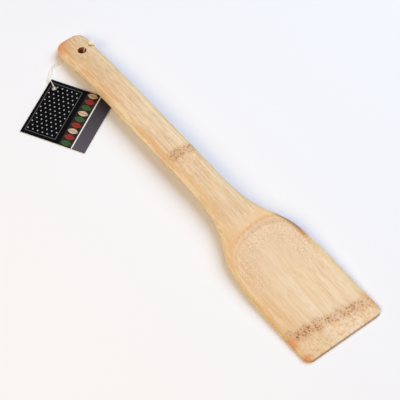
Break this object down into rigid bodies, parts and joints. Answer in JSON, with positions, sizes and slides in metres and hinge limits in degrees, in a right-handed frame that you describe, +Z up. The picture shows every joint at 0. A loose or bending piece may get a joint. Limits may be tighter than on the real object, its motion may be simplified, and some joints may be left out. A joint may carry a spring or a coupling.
{
  "type": "bamboo spatula",
  "caption": "Flat bamboo turner with a straight-edged blade, sanded scoop and slim handle with a hanging hole, carrying a card hang tag on a string.",
  "frame": {"origin": "on the table under the middle of the body's box", "axes": "+Y from the blade's tip to the handle's end, +Z up from the table"},
  "size_m": [0.0998, 0.3, 0.0124],
  "materials": {
    "bamboo": "sanded",
    "card": "printed card with a satin varnish",
    "string": "twisted cotton"
  },
  "bodies": {
    "spatula": {"spatula_body": "bamboo", "tag_string": "string", "string_knot": "string"},
    "tag": {"hang_tag": "card"}
  },
  "joints": [
    {"name": "tag_turn", "type": "hinge", "parent": "spatula", "child": "tag", "pos_m": [-0.0302, 0.122, 0.0009], "axis": [0, 0, 1], "range_deg": [-60, 25]}
  ]
}
